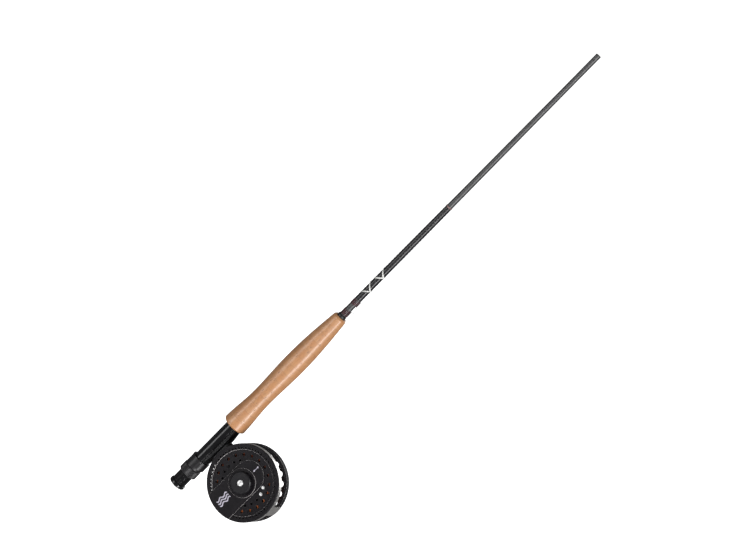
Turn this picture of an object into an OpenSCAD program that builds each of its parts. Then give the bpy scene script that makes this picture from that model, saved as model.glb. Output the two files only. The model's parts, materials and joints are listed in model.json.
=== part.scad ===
/* [Rod] */
// Length of the butt section, from the end cap to the top of the ferrule
rod_l = 672; // [600:1:820]
// Outer diameter of the blank where it leaves the grip
blank_d = 8; // [6.6:0.1:9]
// Outer diameter of the blank on its ferrule land
tip_d = 6.1; // [4.6:0.1:6.6]
// Wall of the hollow blank
blank_wall = 0.9; // [0.6:0.1:1.4]
// Length of the straight land that the next rod section slips over
ferrule_l = 55; // [35:1:70]
// Length of the glossy thread wrap above the grip
wrap_l = 143; // [120:1:180]

/* [Grip] */
// Length of the cork grip
grip_l = 174; // [145:1:210]
// Diameter of the grip at its seat end
grip_base_d = 27.6; // [25:0.1:32]
// Diameter of the grip at its waist
grip_waist_d = 22.5; // [20:0.1:26]
// Diameter of the grip at its swell
grip_swell_d = 25.4; // [22:0.1:31]
// Diameter of the grip at its front end
grip_front_d = 16; // [14:0.1:19]

/* [Reel seat] */
// Outer diameter of the barrel
barrel_d = 17; // [15.5:0.1:18.5]
// Inner diameter of the barrel
barrel_bore_d = 11; // [10:0.1:12]
// Thickness of the end cap's flange
cap_t = 4.5; // [3:0.1:7]
// Length of free thread between the end cap and the lock nut
nut_park = 13.7; // [12:0.1:18]
// Length of the lock nut
nut_l = 10.5; // [8:0.1:14]
// Length of the sliding hood
hood_l = 13; // [11:0.1:17]
// Wall of the lock nut outside the barrel
nut_wall = 2.3; // [1.8:0.1:3]
// Pitch of the barrel's thread
thread_pitch = 1.5; // [1:0.1:2]

/* [Reel foot] */
// Length of the foot
foot_l = 68; // [56:1:82]
// Width of the foot across the barrel
foot_w = 13.5; // [11:0.1:14.5]
// Thickness of the foot under the stem
foot_t = 3.4; // [2.8:0.1:4.2]
// Thickness of the foot at its tips
foot_tip_t = 1.1; // [0.8:0.1:1.5]
// Length of each tip that a hood holds
foot_in = 7; // [5:0.1:8]
// Height of the stem between the foot and the frame
stem_h = 2; // [2:0.1:6]

/* [Reel frame] */
// Outer diameter of the reel
reel_d = 87; // [78:1:105]
// Width of the frame along the spool's axis
reel_w = 29; // [26.5:0.1:36]
// Radial wall of the bright frame band
band_wall = 2; // [1.6:0.1:2.6]
// Depth of the bright band behind the back plate's edge
band_w = 6; // [5:0.1:11]
// Width of the front ring
ring_w = 7.6; // [6.4:0.1:9.2]
// Thickness of the back plate at its rim
plate_t = 3; // [2.6:0.1:3.6]
// Arc of the pillar opposite the foot
guard_arc = 17; // [12:1:30]
// Arc of the pillar that carries the foot
foot_arc = 36; // [32:1:44]

/* [Reel perforation] */
// Diameter of the holes in the back plate's main ring
main_hole_d = 3.8; // [2.4:0.1:4.6]
// Diameter of the holes in the back plate's inner ring
inner_hole_d = 3.2; // [2.4:0.1:3.9]
// Diameter of the holes in the back plate's rim
rim_hole_d = 2; // [1.4:0.1:2.4]
// Diameter of the holes in the spool's front flange
flange_hole_d = 7; // [5:0.1:7.6]

/* [Drag] */
// Diameter of the spindle
spindle_d = 6; // [5:0.1:6.4]
// Diameter of the drag knob
knob_d = 25.8; // [21:0.1:28]
// Thickness of the drag knob
knob_t = 4.8; // [4.2:0.1:6]

/* [Spool] */
// Outer diameter of the arbor that carries the line
arbor_d = 44; // [40:0.5:48]
// Outer diameter of the wound backing
winding_d = 69; // [56:1:70]
// Length of the handle's grip
handle_l = 18; // [15:0.5:24]
// Largest diameter of the handle's grip
handle_d = 11; // [9:0.1:12]

/* [Hidden] */
$fn = 96;
eps = 0.01;

// Fits: glued and pressed faces, turning and sliding fits, and free gaps
glue = 0.05;
run = 0.08;
clear = 0.3;
turn_gap = 0.2;

// Places along the rod, measured from the end cap's outer face
nut_z = cap_t + nut_park;
hood_z = nut_z + nut_l + turn_gap;
hood_top = hood_z + hood_l;
foot_z = hood_top - foot_in;
seat_l = foot_z + foot_l - foot_in;
grip_z = seat_l;
grip_top = grip_z + grip_l;
ferrule_z = rod_l - ferrule_l;
blank_z = cap_t + 16;

// Barrel and cap
barrel_r = barrel_d / 2;
barrel_bore_r = barrel_bore_d / 2;
barrel_in = 14;
cap_r = barrel_r + 1.05;
cap_spigot_l = 11;
cap_chamfer = 0.8;
thread_h = 0.45;
thread_n = floor((hood_z - cap_t) / thread_pitch);
arbor_l = 10;
arbor_n = 3;

// Nut and hood
nut_r = barrel_r + nut_wall;
nut_chamfer = 0.9;
knurl_n = 44;
knurl_h = 0.35;
hood_wall = 1.75;
hood_lip = 0.35;
hood_lip_w = 1.9;
bulge_wall = 1;

// Fixed hood inside the grip
fixed_lip = 2;
fixed_wall = 1.1;

// Foot
foot_ramp = 20;
foot_half = asin(foot_w / 2 / (barrel_r + glue));
stem_w = 11;
stem_l = 30;
reel_off = 3.5;
screw_pitch = 18;
screw_r = 1.5;
screw_head_r = 2.6;
screw_head_h = 1.4;

// Grip
ring_n = 14;
ring_l = grip_l / ring_n;
waist_at = 0.26;
swell_at = 0.57;
profile_n = 6;
end_round = 1.2;
cork_wall = 1;

// Wraps and trim above the grip
check_l = 3.6;
check_r = blank_d / 2 + 1.2;
thread_t = 0.3;
keeper_z = grip_top + 15.5;
keeper_r = 3.5;
keeper_foot = 6;
wire_r = 0.45;
wrap_z = keeper_z + keeper_r + keeper_foot + 3;
wrap_top = wrap_z + wrap_l;
cross_z = [wrap_z + 16, wrap_z + 37];
cross_w = 1.7;
cross_t = 0.18;
cross_tilt = 43;
trim_w = 1.6;
trim_t = 0.35;

// Reel frame
reel_r = reel_d / 2;
reel_x = barrel_r + foot_t + stem_h + reel_r;
reel_z = foot_z + foot_l / 2 - reel_off;
plate_edge = 1.5;
band_in_r = reel_r - band_wall;
ring_in_r = reel_r - 2.5;
ring_lap = 1.2;
ring_at = reel_w - ring_w;
web_t = 2.2;
web_r = reel_r * 0.845;
rim_hole_at = reel_r * 0.888;
main_hole_at = reel_r * 0.72;
inner_hole_at = reel_r * 0.572;
main_n = 20;
rim_n = 60;
house_r = reel_r * 0.41;
house_end = reel_r * 0.245;
house_h = 0.5;
boss_r = 16.3;
boss_h = 1.3;
pocket_r = 14;
pocket_d = plate_t - 0.7;

// Drag and click
spindle_r = spindle_d / 2;
knob_r = knob_d / 2;
knob_gap = 0.3;
knob_back = boss_h + knob_gap;
knob_front = knob_back + knob_t;
knob_web = 2.6;
scallop_n = 16;
pin_r = 0.8;
pin_at = 8;
pin_n = 3;
spring_t = 0.4;
spring_r = pin_at - pin_r - 0.6;
press_t = 1;
washer_t = 1;
hub_at = plate_t + 1;
hub_flange_r = pocket_r - 0.5;
hub_flange_t = 1.8;
hub_hex_r = 6.5;
hub_bore_r = hub_hex_r - 1.9;
gear_r = hub_flange_r + 3;
gear_tooth = 1.5;
gear_n = 40;
gear_t = 1.4;
gear_at = hub_at + 0.2;
bush_l = 5;
rivet_angle = [36, 18];
rivet_r = 1.5;
rivet_head_r = 2;
rivet_head_h = 0.9;
pawl_w = 3.2;

// Spool
spool_r = ring_in_r - clear;
rear_at = hub_at + 3;
flange_t = 1.2;
front_at = reel_w - 4;
front_t = 1.6;
rear_flange_hole_d = 7.4;
rear_hole_at = main_hole_at;
front_hole_at = reel_r * 0.798;
arbor_r = arbor_d / 2;
arbor_wall = 2;
winding_r = winding_d / 2;
hub_r = 10;
hub_in = 11;
hex_end = front_at - 2.4;
nut_hex_r = 4.6;
nut_t = 2.4;
hub_end = hex_end - 0.1;
shoulder_r = 5.6;
shoulder_at = front_at + 0.9;
button_bore_r = 7;
hub_top = reel_w - 0.5;
cover_t = 0.8;
cover_r = 11.5;
cover_bore_r = 5.2;
cover_screw_at = 9;
latch_travel = 0.9;
lighten_n = 8;
lighten_d = 5;
handle_at = reel_r * 0.63;
post_r = 2;
post_collar_r = 3.4;
post_collar_h = 1.9;
weight_r = 5.5;
weight_h = 2.6;

function two(i) = str(i < 10 ? "0" : "", i);
function ring_name(i) = str("cork_ring_", two(i));
function taper() = (blank_d - tip_d) / 2 / (ferrule_z - grip_top);
function blank_r(z) = z >= ferrule_z ? tip_d / 2 : tip_d / 2 + (ferrule_z - z) * taper();

// Grip radius at a share s of its length: base to waist, waist to swell, then down to the front end
function ease(s) = (1 + cos(180 * s)) / 2;
function grip_base_r() = max(grip_base_d / 2, fixed_hood_r() + cork_wall);
function grip_r(s) =
    s < waist_at ? grip_waist_d / 2 + (grip_base_r() - grip_waist_d / 2) * ease(s / waist_at)
    : s < swell_at ? grip_swell_d / 2 - (grip_swell_d - grip_waist_d) / 2 * ease((s - waist_at) / (swell_at - waist_at))
    : grip_front_d / 2 + (grip_swell_d - grip_front_d) / 2 * cos(90 * (s - swell_at) / (1 - swell_at));

// Is a hole of radius r at [x, y] clear of the raised housing?
function off_house(x, y, r) =
    y > -house_end ? abs(x) > house_r + r : norm([x, y + house_end]) > house_r + r;

// A ring or tube standing on z = 0
module tube(r_out, r_in, h) {
    difference() {
        cylinder(r = r_out, h = h);
        translate([0, 0, -1])
            cylinder(r = r_in, h = h + 2);
    }
}

// A solid of revolution from [radius, height] points
module turned(points) {
    rotate_extrude()
        polygon(points);
}

// A stretch of an annulus, centred on the local +X direction
module arc_piece(r_out, r_in, arc, h) {
    rotate([0, 0, -arc / 2])
        rotate_extrude(angle = arc)
            translate([r_in, 0])
                square([r_out - r_in, h]);
}

// Places children on the reel's axis: local +Z goes into the reel from its back plate, +X away from the rod
module in_reel(depth = 0) {
    translate([reel_x, -reel_w / 2, reel_z])
        rotate([-90, 0, 0])
            translate([0, 0, depth])
                children();
}

// ---- Rod ----

// The space that the blank fills, grown by a fit
module blank_space(from, to, fit) {
    translate([0, 0, from])
        cylinder(r1 = blank_r(from) + fit, r2 = blank_r(to) + fit, h = to - from);
}

module blank() {
    color([0.13, 0.13, 0.15])
        difference() {
            union() {
                blank_space(blank_z, ferrule_z, 0);
                translate([0, 0, ferrule_z])
                    cylinder(r = tip_d / 2, h = ferrule_l);
            }
            blank_space(blank_z - 1, ferrule_z, -blank_wall);
            translate([0, 0, ferrule_z - eps])
                cylinder(r = tip_d / 2 - blank_wall, h = ferrule_l + 1);
        }
}

module butt_cap() {
    color([0.1, 0.1, 0.11])
        turned([
            [0, 0], [cap_r - cap_chamfer, 0], [cap_r, cap_chamfer], [cap_r, cap_t - cap_chamfer],
            [cap_r - cap_chamfer, cap_t], [barrel_bore_r - glue, cap_t],
            [barrel_bore_r - glue, cap_t + cap_spigot_l], [0, cap_t + cap_spigot_l]]);
}

module seat_barrel() {
    color([0.12, 0.12, 0.13])
        turned(concat(
            [[barrel_bore_r, cap_t + glue]],
            [for (i = [0 : thread_n - 1], k = [0, 1])
                [barrel_r - (k == 0 ? thread_h : 0), cap_t + glue + (i + k / 2) * thread_pitch]],
            [[barrel_r, grip_z + barrel_in], [barrel_bore_r, grip_z + barrel_in]]));
}

module seat_arbors() {
    color([0.72, 0.62, 0.45])
        for (i = [0 : arbor_n - 1]) {
            z = blank_z + 3 + i * (grip_z + barrel_in - arbor_l - blank_z - 5) / (arbor_n - 1);
            difference() {
                translate([0, 0, z])
                    cylinder(r = barrel_bore_r - glue, h = arbor_l);
                blank_space(z - 1, z + arbor_l + 1, glue);
            }
        }
}

// The foot's curved plate, grown by a clearance to make the pockets that take it
module foot_shell(grow) {
    half = foot_half + grow * 6;
    a = foot_z - grow;
    b = foot_z + foot_l + grow;
    low = barrel_r + foot_tip_t + grow;
    high = barrel_r + foot_t + grow;
    inner = barrel_r + (grow > 0 ? -1 : glue);
    rotate([0, 0, -half])
        rotate_extrude(angle = 2 * half)
            polygon([[inner, a], [low, a], [high, a + foot_ramp], [high, b - foot_ramp], [low, b], [inner, b]]);
}

module fixed_hood() {
    z = grip_z + fixed_lip;
    color([0.12, 0.12, 0.13])
        difference() {
            translate([0, 0, z])
                tube(fixed_hood_r(), barrel_r + glue, barrel_in - fixed_lip);
            foot_shell(clear / 2);
        }
}

function foot_t_at(inside) = foot_tip_t + (foot_t - foot_tip_t) * inside / foot_ramp;
function fixed_hood_r() = barrel_r + foot_t_at(foot_in) + fixed_wall;

// Everything that is bored out of the grip
module grip_core() {
    translate([0, 0, grip_z - 1])
        cylinder(r = barrel_r + glue, h = barrel_in + 1 + glue);
    translate([0, 0, grip_z + fixed_lip - glue])
        cylinder(r = fixed_hood_r() + glue, h = barrel_in - fixed_lip + 2 * glue);
    foot_shell(clear);
    blank_space(grip_z, grip_top + 1, glue);
}

module cork_ring(i) {
    s0 = (i - 1) / ring_n;
    outline = [for (k = [0 : profile_n]) [grip_r(s0 + k / profile_n / ring_n), grip_z + (i - 1 + k / profile_n) * ring_l]];
    first = i == 1;
    last = i == ring_n;
    body = [for (k = [first ? 1 : 0 : last ? profile_n - 1 : profile_n]) outline[k]];
    color(i % 2 == 0 ? [0.84, 0.64, 0.44] : [0.8, 0.6, 0.4])
        difference() {
            turned(concat(
                [[0, grip_z + (i - 1) * ring_l]],
                first ? [[outline[0][0] - end_round, grip_z], [outline[0][0], grip_z + end_round]] : [],
                body,
                last ? [[outline[profile_n][0] - end_round, grip_top]] : [],
                [[0, grip_z + i * ring_l]]));
            grip_core();
        }
}

module winding_check() {
    color([0.1, 0.1, 0.11])
        difference() {
            turned([
                [0, grip_top + glue], [check_r, grip_top + glue], [check_r, grip_top + check_l * 0.6],
                [check_r - 0.7, grip_top + check_l], [0, grip_top + check_l]]);
            blank_space(grip_top - 1, grip_top + check_l + 1, glue);
        }
}

// The keeper's wire grown by a fit: a half loop with a foot along the blank at each end
module keeper_wire(fit) {
    r = wire_r + fit;
    x = blank_r(keeper_z) + wire_r + glue;
    translate([x, 0, keeper_z])
        rotate([90, 0, 0])
            rotate([0, 0, -90])
                rotate_extrude(angle = 180)
                    translate([keeper_r, 0])
                        circle(r = r, $fn = 24);
    for (side = [-1, 1])
        translate([x, 0, keeper_z + side * keeper_r])
            rotate([side > 0 ? 0 : 180, 0, 0]) {
                cylinder(r = r, h = keeper_foot, $fn = 24);
                sphere(r = r, $fn = 24);
            }
}

module hook_keeper() {
    color([0.62, 0.6, 0.58])
        keeper_wire(0);
}

module keeper_wraps() {
    foot_x = blank_r(keeper_z) + wire_r + glue;
    len = keeper_foot + 1;
    color([0.14, 0.05, 0.06])
        for (side = [-1, 1]) {
            z = keeper_z + side * (keeper_r + wire_r + 0.3) - (side < 0 ? len : 0);
            difference() {
                translate([0, 0, z])
                    union() {
                        cylinder(r = blank_r(z) + thread_t, h = len);
                        translate([foot_x, 0, 0])
                            cylinder(r = wire_r + thread_t, h = len);
                    }
                blank_space(z - 1, z + len + 1, glue);
                keeper_wire(glue);
            }
        }
}

module butt_wrap() {
    color([0.07, 0.07, 0.08])
        difference() {
            translate([0, 0, wrap_z])
                cylinder(r1 = blank_r(wrap_z) + thread_t, r2 = blank_r(wrap_top) + thread_t, h = wrap_l);
            blank_space(wrap_z - 1, wrap_top + 1, glue);
        }
}

// Each crossing is two slanted bands that meet on the reel's side of the blank
module cross_wrap() {
    h = 24;
    color([0.86, 0.85, 0.83])
        for (z = cross_z)
            intersection() {
                translate([0, 0, z - h / 2])
                    tube(blank_r(z - h / 2) + thread_t + cross_t, blank_r(z - h / 2) + thread_t + glue, h);
                union()
                    for (side = [-1, 1])
                        translate([blank_r(z) + thread_t, 0, z])
                            rotate([0, side * cross_tilt, 0])
                                translate([-12, -6, -cross_w / 2])
                                    cube([14, 12, cross_w]);
            }
}

module trim_wrap() {
    color([0.75, 0.52, 0.5])
        difference() {
            translate([0, 0, wrap_top + glue])
                cylinder(r = blank_r(wrap_top) + trim_t, h = trim_w);
            blank_space(wrap_top - 1, wrap_top + trim_w + 1, glue);
        }
}

// ---- Reel seat, moving pieces ----

module sliding_hood() {
    r = barrel_r + hood_wall;
    bulge_r = barrel_r + 0.8;
    bulge_x = barrel_r + foot_t_at(foot_in) + clear + bulge_wall - bulge_r;
    color([0.13, 0.13, 0.14])
        difference() {
            union() {
                translate([0, 0, hood_z])
                    cylinder(r = r, h = hood_l);
                translate([0, 0, hood_top - hood_lip_w])
                    cylinder(r = r + hood_lip, h = hood_lip_w);
                translate([bulge_x, 0, hood_z + 3])
                    cylinder(r = bulge_r, h = hood_l - 3);
            }
            translate([0, 0, hood_z - 1])
                cylinder(r = barrel_r + run, h = hood_l + 2);
            foot_shell(clear);
        }
}

module lock_nut() {
    color([0.15, 0.15, 0.16])
        difference() {
            intersection() {
                translate([0, 0, nut_z])
                    linear_extrude(nut_l)
                        polygon([for (i = [0 : 2 * knurl_n - 1])
                            (nut_r - (i % 2) * knurl_h) * [cos(180 * i / knurl_n), sin(180 * i / knurl_n)]]);
                turned([
                    [0, nut_z], [nut_r - nut_chamfer, nut_z], [nut_r + eps, nut_z + nut_chamfer],
                    [nut_r + eps, nut_z + nut_l - nut_chamfer], [nut_r - nut_chamfer, nut_z + nut_l],
                    [0, nut_z + nut_l]]);
            }
            translate([0, 0, nut_z - 1])
                cylinder(r = barrel_r + run, h = nut_l + 2);
        }
}

// ---- Reel foot ----

// A block along X with rounded long ends, centred on the reel's mid-plane
module stem_block(x0, x1, w, l) {
    translate([x0, 0, reel_z])
        rotate([0, 90, 0])
            linear_extrude(x1 - x0)
                union() {
                    square([l - w, w], center = true);
                    for (side = [-1, 1])
                        translate([side * (l - w) / 2, 0])
                            circle(r = w / 2);
                }
}

module foot_screw_holes(r) {
    for (side = [-1, 1])
        translate([barrel_r + 0.9, 0, reel_z + side * screw_pitch / 2])
            rotate([0, 90, 0])
                cylinder(r = r, h = foot_t + stem_h + 1);
}

module reel_foot() {
    tip_r = foot_w / 2 + 1;
    color([0.1, 0.1, 0.11])
        difference() {
            union() {
                intersection() {
                    foot_shell(0);
                    translate([0, 0, foot_z + foot_l / 2])
                        rotate([0, 90, 0])
                            linear_extrude(2 * barrel_d)
                                union() {
                                    square([foot_l - 2 * tip_r, 2 * tip_r], center = true);
                                    for (side = [-1, 1])
                                        translate([side * (foot_l / 2 - tip_r), 0])
                                            circle(r = tip_r);
                                }
                }
                stem_block(barrel_r + 1.5, reel_x - reel_r + 3, stem_w, stem_l);
            }
            in_reel(-10)
                cylinder(r = reel_r + glue, h = reel_w + 20);
            foot_screw_holes(screw_r);
        }
}

// Countersunk screws through the frame's pillar into the foot
module foot_screw(fit) {
    head_x = reel_x - ring_in_r + 0.4;
    tail_x = barrel_r + 1;
    translate([tail_x, 0, 0])
        rotate([0, 90, 0])
            cylinder(r = screw_r - glue + fit, h = head_x - tail_x - eps);
    translate([head_x - screw_head_h, 0, 0])
        rotate([0, 90, 0])
            cylinder(r1 = screw_r - glue + fit, r2 = screw_head_r + fit, h = screw_head_h);
}

module foot_screws() {
    color([0.6, 0.58, 0.56])
        for (side = [-1, 1])
            translate([0, 0, reel_z + side * screw_pitch / 2])
                difference() {
                    foot_screw(0);
                    translate([reel_x - ring_in_r - 0.2, 0, 0])
                        rotate([0, 90, 0])
                            cylinder(r = 1.1, h = 2, $fn = 6);
                }
}

// ---- Reel frame ----

// The raised housing on the back plate: parallel to the rod, round towards its tip, open towards its butt
module house_outline() {
    intersection() {
        union() {
            translate([0, -house_end])
                circle(r = house_r);
            translate([-house_r, -house_end])
                square([2 * house_r, 2 * reel_r]);
        }
        circle(r = reel_r - 0.6);
    }
}

module plate_holes() {
    for (i = [0 : main_n - 1]) {
        a = (i + 0.5) * 360 / main_n;
        p = main_hole_at * [cos(a), sin(a)];
        if (off_house(p[0], p[1], main_hole_d / 2))
            translate(p)
                circle(d = main_hole_d, $fn = 24);
        b = i * 360 / main_n;
        q = inner_hole_at * [cos(b), sin(b)];
        if (off_house(q[0], q[1], inner_hole_d / 2) && min([for (v = rivet_angle) abs(360 - b - v)]) > 1)
            translate(q)
                circle(d = inner_hole_d, $fn = 24);
    }
    for (i = [0 : rim_n - 1]) {
        a = i * 360 / rim_n;
        p = rim_hole_at * [cos(a), sin(a)];
        if (off_house(p[0], p[1], rim_hole_d / 2))
            translate(p)
                circle(d = rim_hole_d, $fn = 24);
    }
}

module rivet_places() {
    for (v = rivet_angle)
        rotate([0, 0, -v])
            translate([inner_hole_at, 0, 0])
                children();
}

module pin_places() {
    for (i = [0 : pin_n - 1])
        rotate([0, 0, 360 * i / pin_n + 90])
            translate([pin_at, 0, 0])
                children();
}

module back_plate() {
    color([0.13, 0.12, 0.14])
        in_reel()
            difference() {
                union() {
                    turned([
                        [0, 0], [reel_r - 0.6, 0], [reel_r, 0.6], [reel_r, plate_edge],
                        [band_in_r - glue, plate_edge], [band_in_r - glue, plate_t], [0, plate_t]]);
                    translate([0, 0, -house_h])
                        linear_extrude(house_h + plate_edge)
                            house_outline();
                    translate([0, 0, -boss_h])
                        cylinder(r = boss_r, h = plate_t);
                }
                translate([0, 0, -eps])
                    linear_extrude(plate_t - web_t)
                        difference() {
                            circle(r = web_r);
                            house_outline();
                        }
                translate([0, 0, -2])
                    linear_extrude(plate_t + 4)
                        plate_holes();
                translate([0, 0, plate_t - pocket_d])
                    cylinder(r = pocket_r, h = pocket_d + 1);
                translate([0, 0, -boss_h - 1])
                    cylinder(r = spindle_r + glue, h = plate_t + 3);
                translate([0, 0, -boss_h - 1]) {
                    pin_places()
                        cylinder(r = pin_r + glue, h = plate_t + 3, $fn = 24);
                    rivet_places()
                        cylinder(r = rivet_r + glue, h = plate_t + 3, $fn = 32);
                }
            }
}

module reel_frame() {
    color([0.62, 0.59, 0.57])
        difference() {
            in_reel() {
                translate([0, 0, plate_edge + glue])
                    tube(reel_r, band_in_r, band_w);
                frame_pillar(guard_arc);
                rotate([0, 0, 180])
                    frame_pillar(foot_arc);
            }
            for (side = [-1, 1])
                translate([0, 0, reel_z + side * screw_pitch / 2])
                    foot_screw(glue);
        }
}

// A pillar is as thick as the ring up to the front ring, and laps over it in a notch
module frame_pillar(arc) {
    from = plate_edge + glue + band_w - 1;
    translate([0, 0, from])
        arc_piece(reel_r, ring_in_r, arc, ring_at - from - glue);
    translate([0, 0, from])
        arc_piece(reel_r, reel_r - ring_lap, arc, reel_w - from);
}

module front_ring() {
    color([0.08, 0.08, 0.09])
        in_reel(ring_at)
            difference() {
                turned([
                    [ring_in_r, 0], [reel_r - glue, 0], [reel_r - glue, ring_w - 0.7], [reel_r - 0.7, ring_w],
                    [ring_in_r, ring_w]]);
                translate([0, 0, -1])
                    arc_piece(reel_r + 1, reel_r - ring_lap - glue, guard_arc + 0.2, ring_w + 2);
                rotate([0, 0, 180])
                    translate([0, 0, -1])
                        arc_piece(reel_r + 1, reel_r - ring_lap - glue, foot_arc + 0.2, ring_w + 2);
            }
}

// Two dots joined by a line on the housing, towards the rod's tip
module index_mark() {
    from = reel_r * 0.45;
    len = reel_r * 0.13;
    color([0.78, 0.77, 0.8])
        in_reel(-house_h - 0.15)
            rotate([0, 0, -90]) {
                for (d = [0, len])
                    translate([from + d, 0, 0])
                        cylinder(r = 1, h = 0.14, $fn = 24);
                translate([from, -0.25, 0])
                    cube([len, 0.5, 0.14]);
            }
}

// A plain badge of three wavy lines on the housing, towards the rod's butt
module badge() {
    w = 17;
    wave = 1.1;
    line = 1.5;
    steps = 16;
    color([0.62, 0.6, 0.66])
        in_reel(-house_h - 0.15)
            translate([-2, reel_r * 0.66, 0])
                rotate([0, 0, -90])
                    for (row = [-1 : 1])
                        translate([0, row * 3.1, 0])
                            linear_extrude(0.14)
                                polygon(concat(
                                    [for (i = [0 : steps]) [w * (i / steps - 0.5), wave * sin(720 * i / steps) - line / 2]],
                                    [for (i = [steps : -1 : 0])
                                        [w * (i / steps - 0.5), wave * sin(720 * i / steps) + line / 2]]));
}

module pawl_rivets() {
    web_face = plate_t - web_t;
    color([0.82, 0.82, 0.84])
        in_reel()
            rivet_places() {
                translate([0, 0, web_face - rivet_head_h - glue])
                    cylinder(r1 = rivet_head_r - 0.4, r2 = rivet_head_r, h = rivet_head_h, $fn = 48);
                translate([0, 0, web_face - glue - eps])
                    cylinder(r = rivet_r, h = gear_at + gear_t + 0.4 - web_face, $fn = 32);
            }
}

// ---- Drag, click and spindle ----

module spindle() {
    top = hub_end + 0.3 + nut_t + 0.3;
    color([0.7, 0.7, 0.7])
        in_reel()
            difference() {
                translate([0, 0, -knob_back - knob_web + 0.2])
                    cylinder(r = spindle_r, h = top + knob_back + knob_web - 0.2);
                translate([0, 0, -knob_back - knob_web])
                    cylinder(r = 1.5 + glue, h = 9, $fn = 32);
            }
}

module spindle_nut() {
    color([0.75, 0.68, 0.45])
        in_reel(hub_end + 0.3)
            difference() {
                cylinder(r = nut_hex_r, h = nut_t, $fn = 6);
                translate([0, 0, -1])
                    cylinder(r = spindle_r + glue, h = nut_t + 2);
            }
}

module knob_screw() {
    under = knob_back + knob_web + 0.2;
    head_r = spindle_r + 0.55;
    color([0.83, 0.83, 0.84])
        in_reel()
            difference() {
                union() {
                    translate([0, 0, -under - 2.4])
                        cylinder(r1 = head_r - 0.5, r2 = head_r, h = 0.6);
                    translate([0, 0, -under - 1.8])
                        cylinder(r = head_r, h = 1.8);
                    translate([0, 0, -under - eps])
                        cylinder(r = 1.5, h = 7, $fn = 32);
                }
                translate([-0.45, -head_r - 1, -under - 3])
                    cube([0.9, 2 * head_r + 2, 1.4]);
            }
}

module push_pins() {
    color([0.7, 0.7, 0.7])
        in_reel(-boss_h - 0.2)
            pin_places()
                cylinder(r = pin_r, h = boss_h + 0.2 + plate_t - pocket_d + 1.05, $fn = 24);
}

module drag_spring() {
    at = plate_t - pocket_d + 0.1;
    r = spindle_r + 1.2;
    color([0.72, 0.72, 0.7])
        in_reel(at)
            turned([[r, 0], [r, spring_t], [spring_r, spring_t + 0.5], [spring_r, 0.5]]);
}

module pressure_plate() {
    color([0.66, 0.66, 0.66])
        in_reel(plate_t - washer_t - press_t + 0.8)
            tube(pocket_r - 1, spindle_r + 0.2, press_t);
}

module drag_washer() {
    color([0.6, 0.42, 0.26])
        in_reel(plate_t - washer_t + 0.8)
            tube(pocket_r - 1.2, spindle_r + 0.4, washer_t);
}

// A flat lever on the first rivet, its tip just clear of the gear
module click_pawl() {
    reach = inner_hole_at - gear_r - clear;
    color([0.72, 0.68, 0.6])
        in_reel(gear_at)
            rotate([0, 0, -rivet_angle[0]])
                difference() {
                    union() {
                        translate([inner_hole_at, 0, 0])
                            cylinder(r = pawl_w, h = gear_t);
                        linear_extrude(gear_t)
                            polygon([
                                [inner_hole_at - 1, -pawl_w * 0.7], [inner_hole_at - reach, -0.3],
                                [inner_hole_at - reach, 0.3], [inner_hole_at - 1, pawl_w * 0.7]]);
                    }
                    translate([inner_hole_at, 0, -1])
                        cylinder(r = rivet_r + glue, h = gear_t + 2, $fn = 32);
                }
}

// A bent strip round the second rivet that presses on the pawl
module pawl_spring() {
    a = rivet_angle[0] - rivet_angle[1];
    c = inner_hole_at * sin(a / 2) * 2;
    leaf = c - pawl_w - 0.1;
    color([0.75, 0.75, 0.72])
        in_reel(gear_at + 0.1)
            rotate([0, 0, -rivet_angle[1]])
                translate([inner_hole_at, 0, 0]) {
                    tube(rivet_r + 0.65, rivet_r + glue, gear_t - 0.2);
                    rotate([0, 0, -90 - a / 2])
                        translate([rivet_r + 0.4, -0.25, 0])
                            cube([leaf - rivet_r - 0.4, 0.5, gear_t - 0.2]);
                }
}

module drag_knob() {
    color([0.12, 0.12, 0.13])
        in_reel(-knob_front)
            difference() {
                turned([
                    [0, 0], [knob_r - 1.6, 0], [knob_r - 0.6, 0.5], [knob_r, 1.4], [knob_r, knob_t - 0.5],
                    [knob_r - 0.5, knob_t], [0, knob_t]]);
                for (i = [0 : scallop_n - 1])
                    rotate([0, 0, (i + 0.5) * 360 / scallop_n])
                        translate([knob_r + 0.9, 0, -1])
                            cylinder(r = 1.6, h = knob_t + 2, $fn = 32);
                translate([0, 0, -1])
                    cylinder(r = spindle_r + run, h = knob_t + 2);
                translate([0, 0, -1])
                    cylinder(r = spindle_r + 0.55 + clear, h = knob_t - knob_web + 1);
            }
}

module drag_hub() {
    color([0.64, 0.62, 0.6])
        in_reel(hub_at)
            difference() {
                union() {
                    cylinder(r = hub_flange_r, h = hub_flange_t);
                    cylinder(r = hub_hex_r, h = hub_end - hub_at, $fn = 6);
                }
                translate([0, 0, -1])
                    cylinder(r = hub_bore_r, h = hub_end);
            }
}

module click_gear() {
    color([0.78, 0.66, 0.36])
        in_reel(gear_at)
            difference() {
                linear_extrude(gear_t)
                    polygon([for (i = [0 : 4 * gear_n - 1])
                        (gear_r - (i % 4 < 2 ? 0 : gear_tooth)) * [cos(90 * i / gear_n), sin(90 * i / gear_n)]]);
                translate([0, 0, -1])
                    cylinder(r = hub_flange_r + glue, h = gear_t + 2);
            }
}

module hub_bushes() {
    color([0.72, 0.5, 0.26])
        for (at = [hub_at, hub_end - bush_l])
            in_reel(at)
                tube(hub_bore_r - glue, spindle_r + run, bush_l);
}

// ---- Spool ----

module flange_holes(n, at, d, turn) {
    for (i = [0 : n - 1])
        rotate([0, 0, (i + turn) * 360 / n])
            translate([at, 0])
                circle(d = d, $fn = 32);
}

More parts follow.
